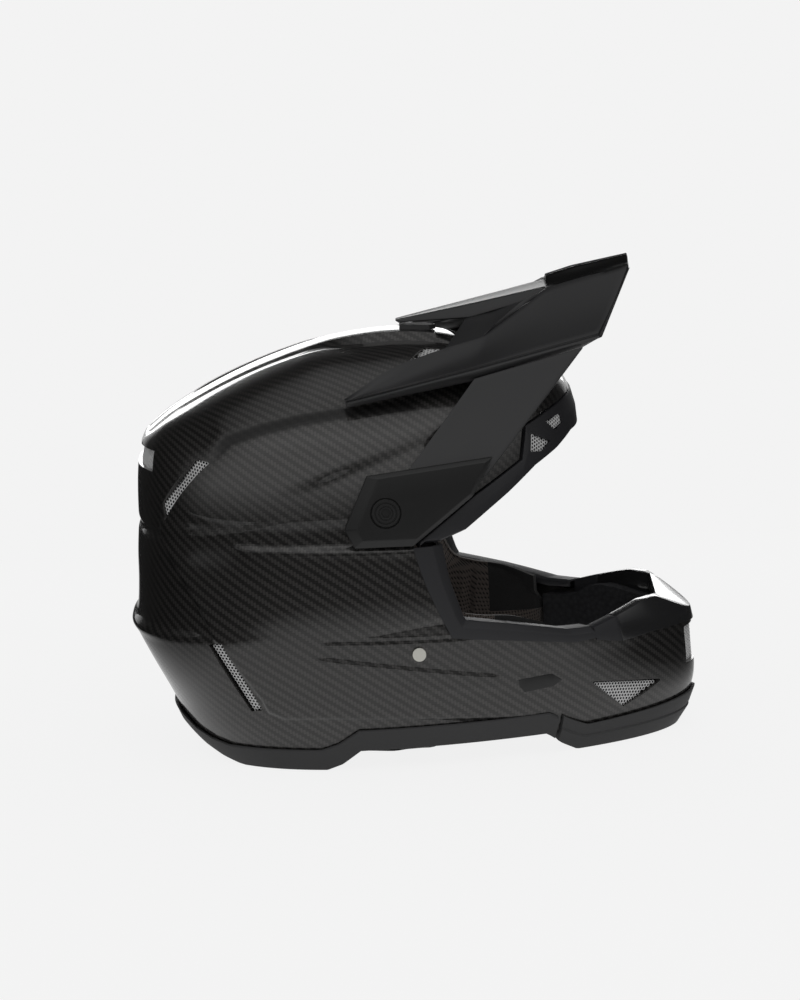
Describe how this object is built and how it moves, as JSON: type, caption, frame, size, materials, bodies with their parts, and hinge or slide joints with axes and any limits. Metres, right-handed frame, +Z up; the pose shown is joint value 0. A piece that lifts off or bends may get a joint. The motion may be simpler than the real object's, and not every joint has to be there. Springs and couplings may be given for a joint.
{
  "type": "full face helmet",
  "caption": "Full face mountain bike helmet with hard shell, chin bar, winged visor on side pivots, mesh vents, foam liners, cheek pads and chin strap.",
  "frame": {"origin": "centre of the bounding box on the table, where the rear rims and the chin guard stand", "axes": "+X forward out of the face, +Y to the wearer's left, +Z up"},
  "size_m": [0.358, 0.2474, 0.3046],
  "materials": {
    "carbon_shell": "clear-coated twill carbon fibre",
    "matte_trim": "matte black moulding",
    "visor_plastic": "satin black moulding",
    "rubber_trim": "matte black rubber edge",
    "mesh_metal": "grey mesh",
    "foam": "moulded bead foam",
    "pad_fabric": "mesh fabric over foam",
    "webbing": "woven nylon webbing",
    "steel": "bare metal",
    "screw_plastic": "matte black anodised"
  },
  "bodies": {
    "helmet": {"outer_shell": "carbon_shell", "eyeport_trim": "matte_trim", "brow_frame": "matte_trim", "chin_lip": "matte_trim", "base_trim": "rubber_trim", "chin_base_guard": "rubber_trim", "rear_upper_screen_left": "mesh_metal", "rear_upper_screen_right": "mesh_metal", "rear_lower_screen_left": "mesh_metal", "rear_lower_screen_right": "mesh_metal", "crown_screen_left": "mesh_metal", "crown_screen_right": "mesh_metal", "chin_side_screen_left": "mesh_metal", "chin_side_screen_right": "mesh_metal", "brow_screens": "mesh_metal", "chin_front_screen": "mesh_metal", "rear_exhaust_screen": "mesh_metal", "cranial_foam": "foam", "chin_foam": "foam", "crown_comfort_liner": "pad_fabric", "cheek_pad_left": "pad_fabric", "cheek_pad_right": "pad_fabric", "cheek_pad_snaps": "matte_trim", "neck_roll": "pad_fabric", "strap_left": "webbing", "strap_right": "webbing", "strap_rivets": "steel", "visor_washers": "screw_plastic", "visor_inserts": "steel", "crown_rest_pad": "rubber_trim"},
    "visor": {"visor": "visor_plastic", "visor_side_plate_left": "visor_plastic", "visor_side_plate_right": "visor_plastic"},
    "screw_left": {"visor_screw_left": "screw_plastic"},
    "screw_right": {"visor_screw_right": "screw_plastic"},
    "ring_outer": {"d_ring_outer": "steel"},
    "ring_inner": {"d_ring_inner": "steel"}
  },
  "joints": [
    {"name": "visor_tilt", "type": "hinge", "parent": "helmet", "child": "visor", "pos_m": [-0.016, 0, 0.168], "axis": [0, -1, 0], "range_deg": [-3, 10]},
    {"name": "screw_left_turn", "type": "hinge", "parent": "helmet", "child": "screw_left", "pos_m": [-0.016, 0.118, 0.168], "axis": [0, 1, 0], "continuous": true},
    {"name": "screw_right_turn", "type": "hinge", "parent": "helmet", "child": "screw_right", "pos_m": [-0.016, -0.118, 0.168], "axis": [0, -1, 0], "continuous": true},
    {"name": "ring_outer_swing", "type": "hinge", "parent": "helmet", "child": "ring_outer", "pos_m": [0.001, 0.06, 0.0185], "axis": [1, 0, 0], "range_deg": [0, 50]},
    {"name": "ring_inner_swing", "type": "hinge", "parent": "helmet", "child": "ring_inner", "pos_m": [0.001, 0.0562, 0.0185], "axis": [-1, 0, 0], "range_deg": [0, 60]}
  ]
}
